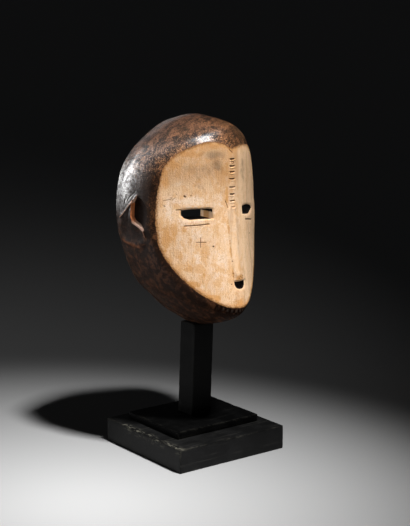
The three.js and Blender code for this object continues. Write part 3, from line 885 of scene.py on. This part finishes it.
def maskWood():
    surface = Surface("carvedWood", Specular_IOR_Level=0.02, Coat_Roughness=0.35)
    finish, zones = maskFinish, maskZones
    place, height, across = surface.place, surface.part(2), surface.part(0)
    fromEdge, hollow, dirtAndShade, rubbed, ochre, chalkAndHighlight, smokeAndShade, cut = (
        surface.attribute(name) for name in (*skinLayers[:7], "cut"))

    lines = place.scaled(1, 1, 0.05).noise(620, 4, 0.65)
    streaks = place.scaled(1, 1, 0.14).noise(150, 4, 0.6)
    cloud = place.noise(36, 5, 0.62, 0.5)
    mottle = place.noise(150, 4, 0.6, 0.3)
    patch = place.scaled(1, 1, 0.6).noise(95, 4, 0.65, 0.6)
    blotch = place.noise(75, 5, 0.7, 0.4)
    grit = place.noise(560, 4, 0.7, 0.3)
    speck = place.noise(1150, 2, 0.7)

    # the pale rubbed face
    ragged = 1.5 * (mottle - 0.5) + 1.2 * (grit - 0.5) + 1.2 * (blotch - 0.5)
    face = place.mixed(0.25 * patch.rising(0.44, 0.6) + 0.22 * patch.rising(0.5, 0.53),
                       finish["pale"], finish["ochre"])
    face = face.blended((0.5 * streaks + 0.5 * mottle).rising(0.47, 0.6)
                        * height.falling(*zones["chalkyCheeks"]) * 0.4, finish["chalkAndHighlight"])
    # pale chalky patches; under the right eye a painted highlight
    face = face.blended((0.9 * chalkAndHighlight + ragged).rising(0.2, 0.6) * 0.6, finish["chalkAndHighlight"])
    face = face.blended((0.9 * ochre + ragged).rising(0.2, 0.6) * 0.75, finish["ochre"])
    face = face.blended(height.rising(*zones["tanForehead"]) * (0.2 + cloud) * 0.8, finish["tan"])
    # the far half of the face is painted lighter: painted light
    face = face.blended(across.rising(*zones["farSide"]) * 0.6, finish["paintedLightPale"])
    onNose = across.rising(*zones["nose"])
    face = face.blended(streaks.rising(0.48, 0.66) * (0.12 + 0.33 * onNose), finish["grain"])
    crack = (place.scaled(1, 1, 0.12).noise(85, 4, 0.6, 0.4) - 0.5).size()
    face = face.blended(crack.falling(0.004, 0.014) * mottle.rising(0.46, 0.56) * 0.5,
                        finish["grain"])
    face = face.blended(lines.rising(0.58, 0.76) * (0.12 + 0.25 * onNose), finish["grain"])
    # smoke stains, and in a few places painted shade
    face = face.blended((smokeAndShade + 0.6 * ragged).rising(0.05, 0.9) * 0.7, finish["smokeAndShade"])
    face = face.blended((0.5 * speck + 0.5 * grit).rising(0.5, 0.62) * 0.3, finish["grain"])
    face = face.blended(speck.rising(0.64, 0.7) * 0.5, finish["grain"])
    nearEdge = (fromEdge + 14 * (mottle - 0.5)).rising(-7, -0.5)
    face = face.blended(nearEdge * (0.35 + 0.3 * height.falling(*zones["ochreJaw"])),
                        finish["ochre"])
    face = face.blended((fromEdge + 9 * (grit - 0.5)).rising(-3.4, 0.4) * 0.85, finish["fringe"])
    # grooves and pits are darkened: partly dirt, partly painted shade
    face = face.blended((dirtAndShade + 0.4 * (grit - 0.5)).rising(0.03, 0.55) * 0.75, finish["fringe"])
    face = face.blended(dirtAndShade.rising(0.4, 0.85) * 0.95, finish["dirtAndShade"])

    # the dark crown and sides
    high = height.rising(*zones["crown"])
    crown = high * (0.3 + 0.7 * fromEdge.rising(8, 36))
    dark = place.mixed((0.6 * blotch + 0.4 * mottle).rising(0.4, 0.56) * (0.08 + 0.92 * crown),
                       finish["patina"], finish["brown"])
    dark = dark.blended(height.falling(*zones["umberSides"]) * (0.3 + cloud) * 0.7,
                        finish["umber"])
    dark = dark.blended((0.5 * blotch + 0.5 * mottle).rising(0.47, 0.6)
                        * height.falling(*zones["brownSides"]) * 0.75, finish["brown"])
    clump = 0.25 * grit + 0.75 * speck + 0.25 * (blotch - 0.5) + 0.25 * (mottle - 0.5)
    nearFace = fromEdge.falling(3, 20) * height.rising(*zones["besideFace"])
    nearFace = nearFace * (0.3 + 0.15 * high)
    overCrown = high * fromEdge.falling(36, 74)
    fleck = (clump + 0.02 * overCrown).rising(0.545, 0.6) * (nearFace + 0.7 * overCrown)
    dark = dark.blended(fleck, finish["rust"])
    # light flecks near the face edge and over the crown: partly pale specks, partly painted glints
    fleckAndPaintedGlint = (0.8 * speck + 0.2 * grit).rising(0.595, 0.655) * fromEdge.falling(14, 48)
    sparkHeight = height + 0.0008 * fromEdge
    dark = dark.blended(fleckAndPaintedGlint * sparkHeight.rising(*zones["crownSparks"]) * 0.85, finish["fleckAndPaintedGlint"])
    pit = (0.6 * speck + 0.4 * grit).falling(0.44, 0.49)
    dark = dark.blended(pit * 0.85, finish["patina"])
    # the carved hollows on the sides are darkened: partly dirt, partly painted shade
    dark = dark.blended(dirtAndShade * 0.9, finish["patina"])
    worn = place.mixed(chalkAndHighlight, finish["raw"], finish["rawPale"])
    worn = worn.blended(height.falling(*zones["blackTeeth"]), finish["tooth"])
    # rubbed wood on the ear, rim and chin; on the ear top's crest it is partly a painted highlight
    dark = dark.blended((rubbed + 0.5 * (mottle - 0.5)).rising(0.3, 0.9), worn)

    # where the face meets the sides, then the hollow and the walls of the piercings, with painted
    # light and painted shade on them
    edgeLine = fromEdge + 3 * (grit - 0.5) + 3 * (mottle - 0.5)
    onSide = edgeLine.rising(-0.6, 0.6)
    colour = face.blended(onSide, dark)
    inside = place.mixed(streaks.rising(0.3, 0.7), finish["inside"], finish["umber"])
    colour = colour.blended(hollow, inside)
    stripes = place.scaled(1, 1, 0.2).noise(260, 2, 0.6)
    deep = surface.part(1)
    # the right eye's wall: its pale is lighter than the face's own, as painted light
    wall = place.mixed(stripes.rising(0.4, 0.62), finish["paintedLightPale"], finish["pale"])
    ochreBand = deep.rising(*zones["eyeWallStart"]) * deep.falling(*zones["eyeWallEnd"])
    wall = wall.blended(ochreBand * 0.85, finish["ochre"])
    # the wall's far part and its top are painted black: painted shade
    wall = wall.blended(across.falling(*zones["eyeWallShade"]), finish["paintedShade"])
    lidLine = height + 0.004 * (mottle - 0.5)
    wall = wall.blended(lidLine.rising(*zones["lidShade"]), finish["paintedShade"])
    colour = colour.blended(cut.rising(0.1, 0.4), wall)
    # the walls of the left eye and the mouth are painted black: painted shade
    colour = colour.blended(cut.rising(0.7, 0.9), finish["paintedShade"])

    # the dull face and the polished crown and sides
    faceRough = 0.6 + 0.2 * lines
    sideRough = 0.32 + 0.16 * grit + 0.3 * (rubbed + dirtAndShade) + 0.15 * pit
    rough = faceRough + onSide * (sideRough - faceRough)
    rough = rough + hollow * (0.9 - rough)
    rough = rough + cut.rising(0.7, 0.9) * (1 - rough)
    gloss = onSide * (1 - hollow) * (1 - rubbed) * height.rising(*zones["gloss"])
    gloss = gloss * (1 - 0.7 * pit) * (1 - dirtAndShade)
    gloss = gloss * (0.6 + 0.4 * (0.5 * mottle + 0.5 * blotch).rising(0.42, 0.56))
    crumb = place.noise(330, 3, 0.7).falling(0.42, 0.54) * height.falling(*zones["crumbs"])
    gloss = gloss * (1 - 0.75 * crumb)
    atFront = fromEdge.falling(10, 34) * height.falling(*zones["glossInFront"])
    gloss = gloss * (1 - atFront)
    relief = onSide * (0.5 * grit + 0.6 * speck + 0.35 * mottle - 0.3 * pit)
    relief = relief + (1 - onSide) * (0.35 * lines + 0.2 * streaks + 0.5 * grit)
    surface.feed(Base_Color=colour, Roughness=rough, Coat_Weight=gloss)
    surface.bump(relief, 0.0014, 0.9)
    return surface.material


mask.data.materials.clear()
mask.data.materials.append(maskWood())
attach(mask, "root")
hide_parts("mask")
print("mask dressed")

# The stand, in millimetres
standDesign = {
    "gap": 0.3,
    "block": {"side": 150, "height": 28, "edge": 1.3},
    "plate": {"width": 117, "depth": 100, "height": 8.5, "edge": 0.9, "x": 2.5, "y": 6},
    "post": {"side": 28, "edge": 0.9, "foot": (7, 9.5), "head": (10.2, 8.2), "top": 147.6},
    "cell": 2.4,
    "bevelSteps": 3,
    "sharpFrom": 50,
    "wornReach": 6, "wornCornerReach": 9,
    "wear": 0.35, "wearWave": 3.1,
    "dentWave": 7.3, "dentShift": (3, 1, 4), "dentFrom": 0.25,
    # the scuffed stretch of the block's left upper edge: from, to, how far from the edge
    "scuffs": (-75, 42, 10),
}


# A sawn board with rounded, slightly worn edges; its lowest face lies at the given height
def shapeBoard(width, depth, low, high, edge, scuffed=False):
    design = standDesign
    bm = bmesh.new()
    bmesh.ops.create_cube(bm, size=1)
    size = Vector((width, depth, high - low))
    bmesh.ops.transform(bm, matrix=Matrix.Diagonal(size.to_4d()), verts=bm.verts)
    bmesh.ops.bevel(bm, geom=list(bm.edges), offset=edge, offset_type="OFFSET",
                    segments=design["bevelSteps"], profile=0.5, affect="EDGES", material=-1)
    for axis in range(3):
        normal = Vector([1 if index == axis else 0 for index in range(3)])
        cuts = int(size[axis] / design["cell"])
        for cut in range(1, cuts):
            at = -size[axis] / 2 + edge + (size[axis] - 2 * edge) * cut / cuts
            bmesh.ops.bisect_plane(bm, geom=bm.verts[:] + bm.edges[:] + bm.faces[:],
                                   plane_co=normal * at, plane_no=normal, dist=0.0001)
    bm.normal_update()
    wornLayer = bm.verts.layers.float.new("worn")
    scuffLayer = bm.verts.layers.float.new("scuffed")
    scuffFrom, scuffTo, scuffReach = design["scuffs"]
    for vert in bm.verts:
        inward = sorted(size[axis] / 2 - abs(vert.co[axis]) for axis in range(3))
        nearEdge = fading(inward[0] + inward[1], design["wornReach"])
        nearCorner = fading(sum(inward), design["wornCornerReach"])
        vert[wornLayer] = max(nearEdge, nearCorner)
        if scuffed and scuffFrom < vert.co.y < scuffTo:
            away = math.hypot(width / 2 + vert.co.x, size.z / 2 - vert.co.z)
            vert[scuffLayer] = fading(away, scuffReach)
        rough = 0.5 + noise.noise(vert.co / design["wearWave"])
        dentPlace = vert.co / design["dentWave"] + Vector(design["dentShift"])
        dent = max(noise.noise(dentPlace) - design["dentFrom"], 0)
        shift = design["wear"] * nearEdge * (0.4 * rough + 2.5 * dent)
        vert.co -= vert.normal * max(shift, 0)
    bmesh.ops.translate(bm, verts=bm.verts, vec=(0, 0, (low + high) / 2))
    return bm


standFinish = {
    "deepBlack": 0.005,
    "softBlack": 0.009,
    "grain": (0.03, 0.029, 0.026, 1),
    "rubbed": (0.05, 0.047, 0.038, 1),
    "scuffed": (0.1, 0.095, 0.075, 1),
}


# Black stained wood: how its grain runs, how much its edges are rubbed, how light the stain is
def standWood(name, grainScale, rubbing, shade=1):
    finish = standFinish
    surface = Surface(name, Specular_IOR_Level=0.2)
    place = surface.place
    worn = surface.attribute("worn")
    grain = place.scaled(*grainScale).noise(300, 4, 0.65)
    cloud = place.noise(45, 3, 0.6)
    fleck = place.noise(420, 3, 0.7)
    black = place.mixed(cloud.rising(0.4, 0.7), grey(finish["deepBlack"] * shade),
                        grey(finish["softBlack"] * shade))
    black = black.blended(grain.rising(0.55, 0.7) * 0.4 * shade, finish["grain"])
    rubbed = (worn + 1.6 * (fleck - 0.5) + 1.2 * (cloud - 0.5)).rising(0.85, 1.2) * rubbing
    black = black.blended(rubbed, finish["rubbed"])
    slant = place.scaled(1, 0.35, 1).noise(380, 3, 0.7)
    scuffed = surface.attribute("scuffed") * slant.rising(0.52, 0.6)
    black = black.blended(scuffed * 0.8, finish["scuffed"])
    surface.feed(Base_Color=black, Roughness=0.42 + 0.2 * cloud + 0.1 * grain)
    surface.bump(grain * 0.7 + fleck * 0.3, 0.0003, 0.5)
    return surface.material


def dressStand(bm, name, node, material, offset=(0, 0, 0)):
    made = meshObject(name, bm, offset=offset)
    made.data.shade_smooth()
    made.data.set_sharp_from_angle(angle=math.radians(standDesign["sharpFrom"]))
    made.data.materials.append(material)
    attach(made, "root")
    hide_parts(node)
    return made


block, plate, post = standDesign["block"], standDesign["plate"], standDesign["post"]
gap = standDesign["gap"]
plateLow = block["height"] + gap
postLow = plateLow + plate["height"] + gap

blockWood = standWood("blockWood", (0.08, 1, 1), 0.35)
blockShape = shapeBoard(block["side"], block["side"], 0, block["height"], block["edge"],
                        scuffed=True)
standPieces = [dressStand(blockShape, "plinthBlock", "stand_block", blockWood)]
plateWood = standWood("plateWood", (0.1, 1, 1), 0.12, shade=0.3)
plateShape = shapeBoard(plate["width"], plate["depth"], plateLow, plateLow + plate["height"],
                        plate["edge"])
standPieces.append(dressStand(plateShape, "plinthPlate", "stand_plate", plateWood,
                              offset=(plate["x"] * metre, plate["y"] * metre, 0)))

# The post leans, and its head is cut to the mask's underside, a gap below it
postShape = shapeBoard(post["side"], post["side"], postLow, post["top"], post["edge"])
rise = post["top"] - postLow
lean = Matrix.Identity(4)
lean[0][2] = (post["head"][0] - post["foot"][0]) / rise
lean[1][2] = (post["head"][1] - post["foot"][1]) / rise
bmesh.ops.translate(postShape, verts=postShape.verts, vec=(0, 0, -postLow))
bmesh.ops.transform(postShape, matrix=lean, verts=postShape.verts)
bmesh.ops.translate(postShape, verts=postShape.verts, vec=(*post["foot"], postLow))
seatShape = bmesh.new()
seatShape.from_mesh(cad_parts["mask"].data)
bmesh.ops.remove_doubles(seatShape, verts=seatShape.verts, dist=1e-6)
seat = meshObject("seatCutter", seatShape, scale=1, offset=(0, 0, -gap * metre))
postWood = standWood("postWood", (1, 1, 0.08), 0.2)
postPiece = dressStand(postShape, "standPost", "stand_post", postWood)
cutAway(postPiece, [seat])
standPieces.append(postPiece)
print("stand dressed")

# The studio, in metres
studio = {
    "camera": (-0.94492, -1.28072, 0.54482),
    "look": (0.5879, 0.7838, -0.2),
    "lens": 95.8,
    "target": (0.0, 0.0, 0.24),
    "floor": 0.35,
    "floorReach": 60,
    "air": (0.9, 0.92, 0.95, 1),
    "airLight": 0.011,
    # each light: the way to it from the target, distance, the point it is aimed at, side, watts,
    # spread in degrees, whether it lights matt surfaces and shines in glossy ones, what it lights
    "lights": {
        "key": ((0.06, -0.62, 1.3), 1.31, (-0.212, -0.072, 0), 0.12, 2.18, 36, True, False, "all"),
        "wash": ((0.06, -0.62, 1.3), 1.32, (-0.5, 1.05, 0), 0.12, 0.85, 80, True, False, "all"),
        "fill": ((-0.75, -0.62, 0.17), 1.3, (0, 0, 0.28), 0.4, 0.52, 60, True, False, "mask"),
        "gloss": ((-0.27, -0.2, 0.94), 1.3, (0, 0, 0.37), 0.22, 3.6, 60, False, True, "mask"),
        "side": ((-0.52, 0.8, 0.3), 1.2, (0, 0, 0.32), 0.8, 8.6, 60, False, True, "mask"),
        "veil": ((0.42, 0.88, 0.22), 1.9, (0, 0, 0.34), 0.5, 0.026, 40, False, True, "mask"),
        "behind": ((-0.45, 0.85, 0.22), 1.9, (0, 0, 0.24), 0.5, 1.4, 40, True, False, "pieces"),
    },
}

cameraData = bpy.data.cameras.new("camera")
cameraData.lens = studio["lens"]
cameraData.sensor_width = 36
camera = bpy.data.objects.new("camera", cameraData)
camera.location = studio["camera"]
camera.rotation_euler = Vector(studio["look"]).to_track_quat("-Z", "Y").to_euler()
bpy.context.scene.collection.objects.link(camera)
bpy.context.scene.camera = camera
bpy.context.scene.view_settings.view_transform = "Standard"

lit = {name: bpy.data.collections.new(name + "Lit") for name in ("mask", "pieces")}
lit["mask"].objects.link(mask)
for piece in [mask, *standPieces]:
    lit["pieces"].objects.link(piece)

for name, light in studio["lights"].items():
    way, distance, aim, size, watts, spread, matt, shine, falls = light
    lampData = bpy.data.lights.new(name, "AREA")
    lampData.size = size
    lampData.energy = watts
    lampData.spread = math.radians(spread)
    lamp = bpy.data.objects.new(name, lampData)
    lamp.location = Vector(studio["target"]) + Vector(way).normalized() * distance
    lamp.rotation_euler = (lamp.location - Vector(aim)).to_track_quat("Z", "Y").to_euler()
    lamp.visible_camera = False
    lamp.visible_diffuse = matt
    lamp.visible_glossy = shine
    if falls in lit:
        lamp.light_linking.receiver_collection = lit[falls]
    bpy.context.scene.collection.objects.link(lamp)

floorShape = bmesh.new()
bmesh.ops.create_grid(floorShape, x_segments=2, y_segments=2, size=studio["floorReach"])
floor = meshObject("floor", floorShape, scale=1)
floorPaper = Surface("floorPaper", Roughness=0.85)
floorPaper.shader.inputs["Base Color"].default_value = grey(studio["floor"])
floor.data.materials.append(floorPaper.material)

world = bpy.data.worlds.new("studioAir")
world.use_nodes = True
background = world.node_tree.nodes["Background"]
background.inputs["Color"].default_value = studio["air"]
background.inputs["Strength"].default_value = studio["airLight"]
bpy.context.scene.world = world
print("studio set")
